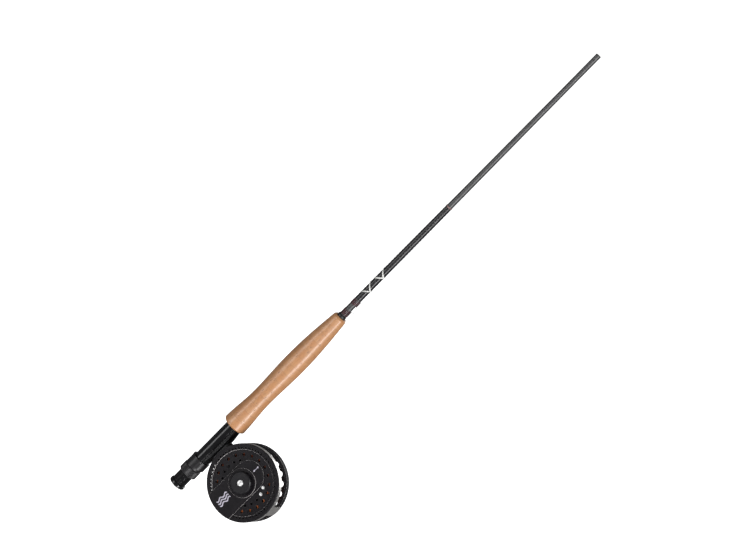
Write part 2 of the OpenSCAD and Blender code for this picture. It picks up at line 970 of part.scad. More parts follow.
module spool() {
    color([0.14, 0.13, 0.14])
        in_reel()
            difference() {
                union() {
                    translate([0, 0, rear_at])
                        linear_extrude(flange_t)
                            difference() {
                                circle(r = spool_r);
                                circle(r = arbor_r - arbor_wall);
                                flange_holes(main_n, rear_hole_at, rear_flange_hole_d, 0.5);
                            }
                    translate([0, 0, rear_at])
                        tube(arbor_r, arbor_r - arbor_wall, front_at - rear_at + eps);
                    translate([0, 0, front_at])
                        linear_extrude(front_t)
                            difference() {
                                circle(r = spool_r);
                                flange_holes(main_n, front_hole_at, flange_hole_d, 0.5);
                                flange_holes(lighten_n, (hub_r + arbor_r - arbor_wall) / 2, lighten_d, 0.5);
                            }
                    translate([0, 0, front_at])
                        tube(spool_r, spool_r - 1.5, reel_w - 0.6 - front_at);
                    translate([0, 0, hub_in])
                        cylinder(r = hub_r, h = hub_top - hub_in);
                    translate([0, 0, front_at])
                        cylinder(r = cover_r, h = hub_top - front_at);
                }
                translate([0, 0, hub_in - 1])
                    cylinder(r = hub_hex_r + 0.15, h = hex_end - hub_in + 1, $fn = 6);
                translate([0, 0, hub_in])
                    cylinder(r = shoulder_r, h = reel_w);
                translate([0, 0, shoulder_at])
                    cylinder(r = button_bore_r, h = reel_w);
                rotate([0, 0, 90])
                    translate([handle_at, 0, front_at - 1])
                        cylinder(r = post_r + glue, h = front_t + 2, $fn = 32);
                rotate([0, 0, -90])
                    translate([handle_at, 0, front_at - 1])
                        cylinder(r = 1.5 + glue, h = front_t + 2, $fn = 32);
                translate([0, 0, hub_top - 1.8])
                    cover_screw_places()
                        cylinder(r = 0.6 + glue, h = 3, $fn = 24);
            }
}

module backing_winding() {
    color([0.62, 0.3, 0.2])
        in_reel(rear_at + flange_t + glue)
            turned([
                [arbor_r + glue, 0], [winding_r - 1.2, 0], [winding_r, 1.5],
                [winding_r, front_at - rear_at - flange_t - 2 * glue - 1.5],
                [winding_r - 1.2, front_at - rear_at - flange_t - 2 * glue],
                [arbor_r + glue, front_at - rear_at - flange_t - 2 * glue]]);
}

module counterweight() {
    color([0.6, 0.58, 0.56])
        in_reel(front_at + front_t + glue)
            rotate([0, 0, -90])
                translate([handle_at, 0, 0]) {
                    turned([[0, 0], [weight_r, 0], [weight_r, weight_h - 0.8], [weight_r - 0.8, weight_h], [0, weight_h]]);
                    translate([0, 0, -front_t])
                        cylinder(r = 1.5, h = front_t + 1, $fn = 32);
                }
}

module handle_post() {
    grip_at = post_collar_h + turn_gap;
    head_at = grip_at + handle_l + turn_gap;
    color([0.72, 0.7, 0.68])
        in_reel(front_at + front_t)
            rotate([0, 0, 90])
                translate([handle_at, 0, 0]) {
                    translate([0, 0, -front_t])
                        cylinder(r = post_r, h = front_t + head_at + 0.5, $fn = 48);
                    translate([0, 0, glue])
                        cylinder(r = post_collar_r, h = post_collar_h - glue, $fn = 48);
                    translate([0, 0, head_at])
                        cylinder(r1 = post_collar_r, r2 = post_collar_r - 0.8, h = 1.2, $fn = 48);
                }
}

module handle_knob() {
    r = handle_d / 2;
    color([0.1, 0.1, 0.1])
        in_reel(front_at + front_t + post_collar_h + turn_gap)
            rotate([0, 0, 90])
                translate([handle_at, 0, 0])
                    difference() {
                        turned([
                            [0, 0], [r * 0.72, 0], [r * 0.8, handle_l * 0.05], [r * 0.7, handle_l * 0.2],
                            [r * 0.68, handle_l * 0.35], [r * 0.78, handle_l * 0.55], [r * 0.95, handle_l * 0.75],
                            [r, handle_l * 0.87], [r * 0.94, handle_l * 0.95], [r * 0.78, handle_l], [0, handle_l]]);
                        translate([0, 0, -1])
                            cylinder(r = post_r + run, h = handle_l + 2, $fn = 48);
                    }
}

module cover_screw_places() {
    for (i = [0 : 2])
        rotate([0, 0, 120 * i])
            translate([cover_screw_at, 0, 0])
                children();
}

module hub_cover() {
    color([0.12, 0.12, 0.13])
        in_reel(hub_top + glue)
            difference() {
                tube(cover_r, cover_bore_r, cover_t);
                translate([0, 0, -1])
                    cover_screw_places()
                        cylinder(r = 0.6 + glue, h = cover_t + 2, $fn = 24);
            }
}

module cover_screws() {
    color([0.78, 0.78, 0.78])
        in_reel(hub_top + glue + cover_t)
            cover_screw_places() {
                translate([0, 0, glue])
                    cylinder(r1 = 1.2, r2 = 0.9, h = 0.5, $fn = 24);
                translate([0, 0, -cover_t - 1.7])
                    cylinder(r = 0.6, h = cover_t + 1.8, $fn = 24);
            }
}

module latch_spring() {
    gap = hub_top - 1.2 - shoulder_at;
    color([0.75, 0.75, 0.72])
        in_reel(shoulder_at + glue)
            turned([[button_bore_r - 1.3, 0], [button_bore_r - 0.3, gap - 0.6], [button_bore_r - 0.3, gap - 0.2],
                [button_bore_r - 1.3, 0.4]]);
}

module latch_button() {
    color([0.66, 0.64, 0.62])
        in_reel(hub_top - 1.2)
            turned([
                [0, 0], [button_bore_r - run, 0], [button_bore_r - run, 1], [cover_bore_r - 0.15, 1],
                [cover_bore_r - 0.15, 2.9], [cover_bore_r - 0.9, 3.4], [0, 3.4]]);
}

butt_cap();
seat_barrel();
seat_arbors();
fixed_hood();
for (i = [1 : ring_n]) cork_ring(i);
winding_check();
hook_keeper();
keeper_wraps();
butt_wrap();
cross_wrap();
trim_wrap();
blank();
sliding_hood();
lock_nut();
reel_foot();
foot_screws();
back_plate();
reel_frame();
front_ring();
index_mark();
badge();
pawl_rivets();
spindle();
spindle_nut();
knob_screw();
push_pins();
drag_spring();
pressure_plate();
drag_washer();
click_pawl();
pawl_spring();
drag_knob();
drag_hub();
click_gear();
hub_bushes();
spool();
backing_winding();
counterweight();
handle_post();
hub_cover();
cover_screws();
latch_spring();
latch_button();
handle_knob();
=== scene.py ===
import json
import math

import bpy
import numpy as np
from mathutils import Matrix, Vector


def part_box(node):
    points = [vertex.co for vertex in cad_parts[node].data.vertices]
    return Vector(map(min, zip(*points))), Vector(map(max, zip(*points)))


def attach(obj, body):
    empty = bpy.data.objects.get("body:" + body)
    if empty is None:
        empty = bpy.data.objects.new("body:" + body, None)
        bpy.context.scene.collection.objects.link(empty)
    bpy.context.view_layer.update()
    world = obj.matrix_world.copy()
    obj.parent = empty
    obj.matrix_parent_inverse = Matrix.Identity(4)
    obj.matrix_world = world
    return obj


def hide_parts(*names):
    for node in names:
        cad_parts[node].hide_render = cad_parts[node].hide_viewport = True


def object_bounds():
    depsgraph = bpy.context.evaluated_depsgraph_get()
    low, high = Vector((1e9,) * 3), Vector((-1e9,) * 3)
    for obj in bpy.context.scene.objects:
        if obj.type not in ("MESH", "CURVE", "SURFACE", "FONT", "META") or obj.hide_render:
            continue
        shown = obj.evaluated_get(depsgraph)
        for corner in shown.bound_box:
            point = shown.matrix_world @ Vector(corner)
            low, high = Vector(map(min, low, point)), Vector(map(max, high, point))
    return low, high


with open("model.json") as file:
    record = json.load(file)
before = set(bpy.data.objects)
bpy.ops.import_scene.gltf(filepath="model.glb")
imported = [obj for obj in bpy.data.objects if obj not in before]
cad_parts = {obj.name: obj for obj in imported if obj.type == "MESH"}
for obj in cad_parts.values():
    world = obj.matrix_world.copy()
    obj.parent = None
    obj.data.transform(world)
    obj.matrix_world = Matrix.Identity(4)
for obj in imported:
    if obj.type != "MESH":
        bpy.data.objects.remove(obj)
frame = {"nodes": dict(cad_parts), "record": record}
cad_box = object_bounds()
nodes = frame["nodes"]
MM = 0.001
THREAD = 0.26 * MM
COLUMNS = 96
WAVE_PERIOD = 0.314
RINGS = sorted(name for name in nodes if name.startswith("cork_ring"))


# ---- Places read from the frame ----

def middle(node):
    """The middle of a node's box."""
    low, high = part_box(node)
    return (low + high) / 2


def rod_outline(node):
    """The node's outer radius about the rod's axis at each height, from its CAD mesh."""
    levels = {}
    for vert in nodes[node].data.vertices:
        z = round(vert.co.z, 5)
        levels[z] = max(levels.get(z, 0), math.hypot(vert.co.x, vert.co.y))
    return np.array(sorted(levels.items())).T


def bore_radius(node):
    """The node's smallest radius about the rod's axis."""
    return min(math.hypot(vert.co.x, vert.co.y) for vert in nodes[node].data.vertices)


reel_axis = middle("reel_frame")
reel_axis.y = 0


# ---- Camera, floor and lights ----

def make_camera():
    """A long lens that sees the reel's back plate, with the rod leaning to the upper right."""
    up = Vector((-0.7232, -0.034, 0.6898))
    back = Vector((0.630, 0.3768, 0.679)).cross(up).normalized()
    right = up.cross(back).normalized()
    data = bpy.data.cameras.new("camera")
    data.sensor_width = 36
    data.lens = 156
    data.clip_end = 80
    cam = bpy.data.objects.new("camera", data)
    cam.matrix_world = Matrix((right, back.cross(right), back)).transposed().to_4x4()
    cam.location = (0.9854, -3.2578, 1.2177)
    bpy.context.collection.objects.link(cam)
    bpy.context.scene.camera = cam


def area_light(name, place, aim, size, power):
    """A rectangular soft box that faces a point."""
    data = bpy.data.lights.new(name, "AREA")
    data.shape = "RECTANGLE"
    data.size, data.size_y = size
    data.energy = power
    light = bpy.data.objects.new(name, data)
    light.location = place
    light.rotation_euler = (aim - place).to_track_quat("-Z", "Y").to_euler()
    bpy.context.collection.objects.link(light)


def make_stage():
    """A glowing white floor well below the object, a dim grey room, and soft boxes round the object."""
    bpy.ops.mesh.primitive_plane_add(size=60, location=(0, 0, -0.3))
    floor = bpy.context.object
    floor.name = "floor"
    paper = bpy.data.materials.new("floor_paper")
    paper.use_nodes = True
    shader = paper.node_tree.nodes["Principled BSDF"]
    shader.inputs["Base Color"].default_value = (0.95, 0.95, 0.95, 1)
    shader.inputs["Roughness"].default_value = 0.95
    shader.inputs["Emission Color"].default_value = (1, 1, 1, 1)
    shader.inputs["Emission Strength"].default_value = 1.0
    floor.data.materials.append(paper)
    floor.visible_glossy = False
    floor.visible_diffuse = False
    floor.visible_shadow = False
    world = bpy.data.worlds.new("studio")
    world.use_nodes = True
    world.node_tree.nodes["Background"].inputs["Color"].default_value = (1, 1, 1, 1)
    world.node_tree.nodes["Background"].inputs["Strength"].default_value = 0.19
    bpy.context.scene.world = world
    bpy.context.scene.view_settings.view_transform = "Standard"
    centre = (cad_box[0] + cad_box[1]) / 2
    area_light("key", centre + 2.2 * Vector((0.8415, -0.508, -0.2)), centre, (0.32, 2.0), 56)
    area_light("fill", centre + 2.0 * Vector((-0.507, -0.844, -0.2)), centre, (0.6, 1.6), 17)
    area_light("front", centre + Vector((0.95, -2.3, 0.45)), centre, (0.5, 0.5), 26)
    area_light("back", centre + Vector((0.4, 1.8, 0.9)), centre, (1.4, 1.4), 22)


# ---- Materials ----

def put(tree, kind, sockets=(), **settings):
    """Adds a shader node and fills its sockets, each with a value or with another node's output."""
    node = tree.nodes.new(kind)
    for key, value in settings.items():
        setattr(node, key, value)
    for key, value in dict(sockets).items():
        if isinstance(value, bpy.types.NodeSocket):
            tree.links.new(value, node.inputs[key])
        else:
            node.inputs[key].default_value = value
    return node


def start(name, **sockets):
    """A new material: its tree, its shader and the coordinates that its patterns use."""
    made = bpy.data.materials.new(name)
    made.use_nodes = True
    tree = made.node_tree
    shader = tree.nodes["Principled BSDF"]
    for key, value in sockets.items():
        shader.inputs[key.replace("_", " ")].default_value = value
    spot = put(tree, "ShaderNodeTexCoord").outputs["Object"]
    return made, tree, shader, spot


def noise(tree, spot, size, detail=3.0, rough=0.55):
    """A noise pattern whose blobs are about this many metres across."""
    return put(tree, "ShaderNodeTexNoise",
               {"Vector": spot, "Scale": 1 / size, "Detail": detail, "Roughness": rough}).outputs["Fac"]


def cell_pattern(tree, spot, size):
    """A pattern of cells about this many metres across, 0 at each cell's middle."""
    return put(tree, "ShaderNodeTexVoronoi", {"Vector": spot, "Scale": 1 / size}).outputs["Distance"]


def spread(tree, value, low, high, to_low, to_high):
    """Maps a value from one span to another, held at the ends."""
    return put(tree, "ShaderNodeMapRange", {"Value": value, "From Min": low, "From Max": high,
                                            "To Min": to_low, "To Max": to_high}).outputs["Result"]


def blend_colour(tree, factor, first, second):
    """A mix of two colours, each a value or an output."""
    mix = put(tree, "ShaderNodeMix", {0: factor}, data_type="RGBA")
    for index, colour in ((6, first), (7, second)):
        if isinstance(colour, bpy.types.NodeSocket):
            tree.links.new(colour, mix.inputs[index])
        else:
            mix.inputs[index].default_value = (*colour, 1)
    return mix.outputs[2]


def sums(tree, operation, first, second):
    """One step of arithmetic on two values."""
    return put(tree, "ShaderNodeMath", {0: first, 1: second}, operation=operation).outputs["Value"]


def function_of(tree, operation, value):
    """A function of one value."""
    return put(tree, "ShaderNodeMath", {0: value}, operation=operation).outputs["Value"]


def vector_sums(tree, operation, first, second):
    """One step of arithmetic on two vectors."""
    return put(tree, "ShaderNodeVectorMath", {0: first, 1: second}, operation=operation).outputs["Vector"]


def dot(tree, first, second):
    """The dot product of two vectors."""
    return put(tree, "ShaderNodeVectorMath", {0: first, 1: second}, operation="DOT_PRODUCT").outputs["Value"]


def from_reel_axis(tree, spot):
    """The vector from the reel's centre to a point, and the point's distance from the reel's axis."""
    arm = vector_sums(tree, "SUBTRACT", spot, list(reel_axis))
    flat = vector_sums(tree, "MULTIPLY", arm, (1.0, 0.0, 1.0))
    return arm, put(tree, "ShaderNodeVectorMath", {0: flat}, operation="LENGTH").outputs["Value"]


def mottle(tree, cloud, fine, cloud_span, fine_span):
    """The gloss that two noises add, each mapped to its own span."""
    broad_part = spread(tree, cloud, 0.3, 0.7, *cloud_span)
    fine_part = spread(tree, fine, 0.3, 0.7, *fine_span)
    return sums(tree, "ADD", broad_part, fine_part)


def edge_mask(tree, radius):
    """Bright where the surface turns a corner, and the softened normal there."""
    soft = put(tree, "ShaderNodeBevel", {"Radius": radius}, samples=6).outputs["Normal"]
    flat = put(tree, "ShaderNodeNewGeometry").outputs["Normal"]
    return spread(tree, dot(tree, soft, flat), 0.995, 0.8, 0, 1), soft


def bumps(tree, height, distance, normal=None):
    """A bump whose full height is a distance in metres."""
    sockets = {"Height": height, "Distance": distance, "Strength": 1.0}
    if normal:
        sockets["Normal"] = normal
    return put(tree, "ShaderNodeBump", sockets).outputs["Normal"]


def cut_edges_and_painted_highlight(tree, spot, corner):
    """Keeps the bright edges of the back plate to its raised housing and to the step inside its rim: cut
    edges, painted pale as a highlight, and a faint painted highlight on every other corner.
    """
    low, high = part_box("back_plate")
    plate_edge = 1.5 * MM
    web_share = 0.845
    faint = 0.12
    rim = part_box("reel_frame")[0].y - plate_edge
    axes = put(tree, "ShaderNodeSeparateXYZ", {"Vector": spot}).outputs
    proud = spread(tree, axes["Y"], rim - 0.05 * MM, rim - 0.15 * MM, 0, 1)
    _, radius = from_reel_axis(tree, spot)
    step = (high.x - low.x) / 2 * web_share
    off = function_of(tree, "ABSOLUTE", sums(tree, "SUBTRACT", radius, step))
    ring = spread(tree, off, 0.3 * MM, 0.5 * MM, 1, 0)
    shown = sums(tree, "MAXIMUM", sums(tree, "MAXIMUM", proud, ring), faint)
    return sums(tree, "MULTIPLY", corner, shown)


def metal(name, colour, edge_wear_and_highlight, roughness, metallic, bump=0.004 * MM, edge=0.2 * MM, level=0.5, lines=False):
    """A finished metal: fine blasted grain, cloudy gloss, and edges where the finish is rubbed thin; with
    lines set, pale cut edges with a painted highlight instead.
    """
    wear = 0.6
    polish = 0.12
    made, tree, shader, spot = start(name, Metallic=metallic, Specular_IOR_Level=level)
    corner, soft = edge_mask(tree, edge)
    fine = noise(tree, spot, 0.35 * MM, 4)
    cloud = noise(tree, spot, 9 * MM, 4)
    scuffs = spread(tree, noise(tree, spot, 1.3 * MM, 5, 0.7), 0.35, 0.7, 0.1, 1)
    if lines:
        # Painted highlight: pale colour along the back plate's cut edges.
        rubbed = cut_edges_and_painted_highlight(tree, spot, corner)
    else:
        rubbed = sums(tree, "MULTIPLY", sums(tree, "MULTIPLY", corner, scuffs), wear)
    darker = tuple(0.8 * part for part in colour)
    body = blend_colour(tree, spread(tree, cloud, 0.3, 0.7, 0, 1), darker, colour)
    tree.links.new(blend_colour(tree, rubbed, body, edge_wear_and_highlight), shader.inputs["Base Color"])
    rough = sums(tree, "ADD", mottle(tree, cloud, fine, (-0.04, 0.05), (-0.03, 0.03)), roughness)
    smoother = sums(tree, "MULTIPLY", rubbed, polish)
    tree.links.new(sums(tree, "SUBTRACT", rough, smoother), shader.inputs["Roughness"])
    tree.links.new(bumps(tree, fine, bump, soft), shader.inputs["Normal"])
    return made


def turned_metal(name, colour, roughness, dark=None, dark_beyond=0.0):
    """Bright metal with a lathe's fine rings about the reel's axis, blackened beyond a radius if asked."""
    pitch = 0.16 * MM
    bump = 0.003 * MM
    made, tree, shader, spot = start(name, Metallic=1.0, Specular_IOR_Level=0.12)
    corner, soft = edge_mask(tree, 0.2 * MM)
    arm, radius = from_reel_axis(tree, spot)
    along = dot(tree, arm, (0.0, 1.0, 0.0))
    phase = sums(tree, "MULTIPLY", sums(tree, "ADD", radius, along), 2 * math.pi / pitch)
    rings = function_of(tree, "SINE", phase)
    cloud = noise(tree, spot, 5 * MM, 4)
    fine = noise(tree, spot, 0.3 * MM, 3)
    shade = tuple(0.72 * part for part in colour)
    body = blend_colour(tree, spread(tree, cloud, 0.3, 0.7, 0, 1), shade, colour)
    if dark:
        black = spread(tree, radius, dark_beyond, dark_beyond + 0.05 * MM, 0, 1)
        kept = sums(tree, "MULTIPLY", black, spread(tree, corner, 0, 1, 1, 0.35))
        body = blend_colour(tree, kept, body, dark)
        tree.links.new(spread(tree, black, 0, 1, 1, 0), shader.inputs["Metallic"])
    tree.links.new(body, shader.inputs["Base Color"])
    rough = sums(tree, "ADD", mottle(tree, cloud, fine, (-0.05, 0.06), (-0.03, 0.03)), roughness)
    if dark:
        rough = sums(tree, "ADD", rough, sums(tree, "MULTIPLY", black, 0.3))
    tree.links.new(rough, shader.inputs["Roughness"])
    height = sums(tree, "ADD", rings, sums(tree, "MULTIPLY", fine, 1.5))
    tree.links.new(bumps(tree, height, bump, soft), shader.inputs["Normal"])
    return made


def cork_material():
    """Sanded cork: cells, darker and lighter grain, a tone of its own for each ring, and dark pits."""
    made, tree, shader, spot = start("cork", Specular_IOR_Level=0.5, Coat_Weight=0.45, Coat_Roughness=0.28)
    tone = put(tree, "ShaderNodeAttribute", attribute_name="tone").outputs["Fac"]
    pit = put(tree, "ShaderNodeAttribute", attribute_name="pit").outputs["Fac"]
    shift = put(tree, "ShaderNodeCombineXYZ", {"X": tone, "Y": tone}).outputs["Vector"]
    shifted = vector_sums(tree, "ADD", spot, shift)
    long_way = put(tree, "ShaderNodeMapping", {"Vector": shifted, "Scale": (1, 1, 0.55)}).outputs["Vector"]
    broad = noise(tree, shifted, 14 * MM, 4)
    grain = noise(tree, long_way, 2.4 * MM, 6, 0.62)
    cells = cell_pattern(tree, shifted, 0.55 * MM)
    pale = blend_colour(tree, spread(tree, tone, 0.2, 0.8, 0, 1), (0.37, 0.182, 0.078), (0.42, 0.218, 0.100))
    warm = blend_colour(tree, spread(tree, broad, 0.35, 0.65, 0, 0.8), pale, (0.37, 0.160, 0.058))
    lined = blend_colour(tree, spread(tree, grain, 0.53, 0.72, 0, 0.55), warm, (0.24, 0.115, 0.050))
    lights = blend_colour(tree, spread(tree, grain, 0.46, 0.3, 0, 0.35), lined, (0.46, 0.255, 0.120))
    speckle = blend_colour(tree, spread(tree, cells, 0.35, 0.75, 0, 0.18), lights, (0.25, 0.12, 0.05))
    colour = blend_colour(tree, pit, speckle, (0.075, 0.035, 0.018))
    tree.links.new(colour, shader.inputs["Base Color"])
    rough = sums(tree, "ADD", spread(tree, grain, 0.3, 0.7, 0.38, 0.56), sums(tree, "MULTIPLY", pit, 0.3))
    tree.links.new(rough, shader.inputs["Roughness"])
    height = sums(tree, "ADD", grain, sums(tree, "MULTIPLY", cells, -0.4))
    tree.links.new(bumps(tree, height, 0.05 * MM), shader.inputs["Normal"])
    return made


def bands(tree, sockets):
    """Bands across the rod, which repeat every WAVE_PERIOD / Scale metres."""
    return put(tree, "ShaderNodeTexWave", sockets, wave_type="BANDS", bands_direction="Z",
               wave_profile="SIN").outputs["Fac"]


def blank_material():
    """Unsanded graphite: matte, with shallow bands like those that a winding tape leaves."""
    made, tree, shader, spot = start("blank_black", Specular_IOR_Level=0.6)
    turns = bands(tree, {"Vector": spot, "Scale": 1 / (7 * MM), "Distortion": 0.25, "Detail": 2.0,
                         "Detail Scale": 60.0})
    long_way = put(tree, "ShaderNodeMapping", {"Vector": spot, "Scale": (1, 1, 0.05)}).outputs["Vector"]
    fibre = noise(tree, long_way, 0.4 * MM, 4)
    cloud = noise(tree, spot, 12 * MM, 3)
    fibres = spread(tree, fibre, 0.35, 0.7, 0, 1)
    colour = blend_colour(tree, fibres, (0.016, 0.016, 0.017), (0.034, 0.034, 0.036))
    tree.links.new(colour, shader.inputs["Base Color"])
    rough = mottle(tree, cloud, fibre, (0.36, 0.46), (-0.04, 0.04))
    tree.links.new(rough, shader.inputs["Roughness"])
    height = sums(tree, "ADD", turns, sums(tree, "MULTIPLY", fibre, 0.5))
    tree.links.new(bumps(tree, height, 0.025 * MM), shader.inputs["Normal"])
    return made


def thread_material(name, colour, other, metallic=0.0, groove=0.55, ridge=0.035 * MM):
    """Wound thread under clear epoxy: the turns show below a smooth coat, with painted shade darkening the
    grooves between them.
    """
    made, tree, shader, spot = start(name, Metallic=metallic, Coat_Weight=0.35, Coat_Roughness=0.2,
                                     Specular_IOR_Level=0.25)
    turns = bands(tree, {"Vector": spot, "Scale": WAVE_PERIOD / THREAD, "Distortion": 0.12, "Detail": 1.0,
                         "Detail Scale": 3.0})
    cloud = noise(tree, spot, 3 * MM, 4)
    fine = noise(tree, spot, 0.5 * MM, 3)
    mixed = blend_colour(tree, spread(tree, cloud, 0.35, 0.68, 0, 1), colour, other)
    # Painted shade: the grooves between turns are darkened to about a third of the thread's colour.
    groove_shade = tuple(0.35 * part for part in colour)
    lined = blend_colour(tree, spread(tree, turns, 0.0, 0.4, groove, 0), mixed, groove_shade)
    tree.links.new(lined, shader.inputs["Base Color"])
    tree.links.new(spread(tree, fine, 0.3, 0.7, 0.3, 0.45), shader.inputs["Roughness"])
    tree.links.new(bumps(tree, turns, ridge), shader.inputs["Normal"])
    return made


def backing_material():
    """Braided backing: small cells like plaits, rust orange, with painted shade that darkens it to brown
    towards one side of the reel.
    """
    made, tree, shader, spot = start("backing", Specular_IOR_Level=0.3, Sheen_Weight=0.25)
    plait = cell_pattern(tree, spot, 0.4 * MM)
    cloud = noise(tree, spot, 4 * MM, 4)
    arm, _ = from_reel_axis(tree, spot)
    # Painted shade: the backing fades from orange to dark brown towards one side of the reel.
    side = dot(tree, arm, (0.5, 0.0, -0.86))
    bright = blend_colour(tree, spread(tree, cloud, 0.3, 0.7, 0, 1), (0.62, 0.14, 0.035), (0.85, 0.26, 0.07))
    colour = blend_colour(tree, spread(tree, side, -14 * MM, 20 * MM, 0, 1), (0.09, 0.03, 0.02), bright)
    tree.links.new(blend_colour(tree, spread(tree, plait, 0.3, 0.8, 0, 0.7), colour, (0.24, 0.05, 0.018)),
                   shader.inputs["Base Color"])
    tree.links.new(spread(tree, plait, 0.1, 0.8, 0.6, 0.9), shader.inputs["Roughness"])
    tree.links.new(bumps(tree, plait, -0.06 * MM), shader.inputs["Normal"])
    return made


def moulded(name, colour, roughness, depth=0.01 * MM, coat=0.0):
    """Moulded or printed plastic: a fine even grain, mottled gloss and slightly rubbed edges."""
    made, tree, shader, spot = start(name, Specular_IOR_Level=0.5, Coat_Weight=coat, Coat_Roughness=0.2)
    corner, soft = edge_mask(tree, 0.25 * MM)
    fine = noise(tree, spot, 0.25 * MM, 4)
    cloud = noise(tree, spot, 6 * MM, 4)
    lighter = tuple(min(1, 1.5 * part + 0.01) for part in colour)
    body = blend_colour(tree, spread(tree, cloud, 0.3, 0.7, 0, 0.5), colour, lighter)
    rubbed = blend_colour(tree, sums(tree, "MULTIPLY", corner, 0.4), body, lighter)
    tree.links.new(rubbed, shader.inputs["Base Color"])
    rough = sums(tree, "ADD", spread(tree, cloud, 0.3, 0.7, -0.06, 0.06), roughness)
    tree.links.new(rough, shader.inputs["Roughness"])
    tree.links.new(bumps(tree, fine, depth, soft), shader.inputs["Normal"])
    return made


BLACK = (0.008, 0.0075, 0.009)
PLATE = (0.0058, 0.0048, 0.0063)
WORN = (0.16, 0.15, 0.16)
SILVER = (0.80, 0.78, 0.76)


def make_materials():
    """Every finish, by the record's slot names where one finish serves the slot."""
    low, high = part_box("front_ring")
    black_band = 2.2 * MM
    black_from = (high.x - low.x) / 2 - black_band
    return {
        "anodised_black": metal("anodised_black", BLACK, WORN, 0.40, 0.25),
        # The back plate's pale edge colour is partly its cut edges and partly a painted highlight.
        "plate_black": metal("plate_black", PLATE, (0.62, 0.58, 0.58), 0.32, 0.05, edge=0.35 * MM, level=0.16,
                             lines=True),
        "seat_black": metal("seat_black", (0.006, 0.006, 0.007), WORN, 0.2, 0.3, bump=0.001 * MM),
        "knob_black": metal("knob_black", BLACK, WORN, 0.32, 0.1, level=0.25),
        "ring_black": turned_metal("ring_black", SILVER, 0.3, dark=BLACK, dark_beyond=black_from),
        "bright_aluminium": turned_metal("bright_aluminium", SILVER, 0.36),
        "polished_steel": metal("polished_steel", (0.85, 0.85, 0.85), (0.95, 0.95, 0.95), 0.3, 0.8,
                                bump=0.002 * MM),
        "drag_steel": turned_metal("drag_steel", (0.6, 0.6, 0.6), 0.28),
        "brass": turned_metal("brass", (0.72, 0.5, 0.2), 0.3),
        "cork": cork_material(),
        "blank_black": blank_material(),
        "gloss_wrap": thread_material("gloss_wrap", (0.004, 0.004, 0.005), (0.009, 0.008, 0.010),
                                      ridge=0.008 * MM),
        "dark_thread": thread_material("dark_thread", (0.045, 0.006, 0.010), (0.014, 0.012, 0.014)),
        "white_thread": thread_material("white_thread", (0.66, 0.66, 0.64), (0.56, 0.56, 0.54), groove=0.15),
        "metallic_thread": thread_material("metallic_thread", (0.26, 0.17, 0.16), (0.2, 0.13, 0.13),
                                           metallic=0.6),
        "backing": backing_material(),
        "handle_resin": moulded("handle_resin", (0.012, 0.012, 0.013), 0.3, coat=0.4),
        "print_grey": moulded("print_grey", (0.34, 0.32, 0.38), 0.45, depth=0.004 * MM),
        "felt": moulded("felt", (0.45, 0.25, 0.12), 0.85, depth=0.05 * MM),
    }


SPECIAL = {
    "seat_barrel": "seat_black",
    "butt_cap": "seat_black",
    "fixed_hood": "seat_black",
    "reel_foot": "seat_black",
    "drag_knob": "knob_black",
    "back_plate": "plate_black",
    "front_ring": "ring_black",
    "pressure_plate": "drag_steel",
    "seat_arbors": "felt",
    "drag_washer": "felt",
}


def finish_cad(materials):
    """Gives every CAD node the finish of its slot, or its own where the slot's is too general."""
    slots = {part["node"]: part["material_slot"] for part in frame["record"]["subparts"]}
    for name, obj in nodes.items():
        look = materials[SPECIAL.get(name, slots[name])]
        if not obj.material_slots:
            obj.data.materials.append(look)
        for holder in obj.material_slots:
            holder.material = look


# ---- Meshes that stand for the plainer CAD solids ----

def torus_grid(points, first=0):
    """Faces that join a grid of points both ways round, so the surface closes on itself."""
    rows, columns = points.shape[:2]
    at = first + np.arange(rows * columns).reshape(rows, columns)
    near = np.roll(at, -1, axis=1)
    up = np.roll(at, -1, axis=0)
    return np.stack([at, near, np.roll(near, -1, axis=0), up], axis=-1).reshape(-1, 4)


def add_piece(name, grids, look, slot, body, *replaced):
    """Makes one piece from closed grids, hangs it on its body and hides the CAD nodes that it replaces."""
    verts = []
    faces = []
    total = 0
    for grid in grids:
        faces.append(torus_grid(grid, total))
        verts.append(grid.reshape(-1, 3))
        total += grid.shape[0] * grid.shape[1]
    mesh = bpy.data.meshes.new(name)
    mesh.from_pydata(np.concatenate(verts).tolist(), [], np.concatenate(faces).tolist())
    mesh.polygons.foreach_set("use_smooth", [True] * len(mesh.polygons))
    mesh.materials.append(look)
    piece = bpy.data.objects.new(name, mesh)
    bpy.context.collection.objects.link(piece)
    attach(piece, body)
    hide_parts(*replaced)
    return piece


def around(radii, heights, columns):
    """A grid about the Z axis from a loop of radii and heights; radii may differ round the axis."""
    angle = np.linspace(0, 2 * math.pi, columns, endpoint=False)
    radii = np.broadcast_to(np.asarray(radii).reshape(len(heights), -1), (len(heights), columns))
    heights = np.broadcast_to(np.asarray(heights).reshape(len(heights), -1), radii.shape)
    return np.stack([radii * np.cos(angle), radii * np.sin(angle), heights], axis=-1)


def set_attribute(piece, name, values):
    """Stores one number per point, which the material reads."""
    layer = piece.data.attributes.new(name, "FLOAT", "POINT")
    layer.data.foreach_set("value", np.asarray(values, dtype=float).ravel())


def smooth_curve(at, knots, values):
    """A curve through the knots without kinks."""
    slope = np.gradient(values, knots)
    k = np.clip(np.searchsorted(knots, at) - 1, 0, len(knots) - 2)
    step = knots[k + 1] - knots[k]
    t = (at - knots[k]) / step
    return ((1 + 2 * t) * (1 - t) ** 2 * values[k] + t * (1 - t) ** 2 * step * slope[k]
            + t ** 2 * (3 - 2 * t) * values[k + 1] - t ** 2 * (1 - t) * step * slope[k + 1])


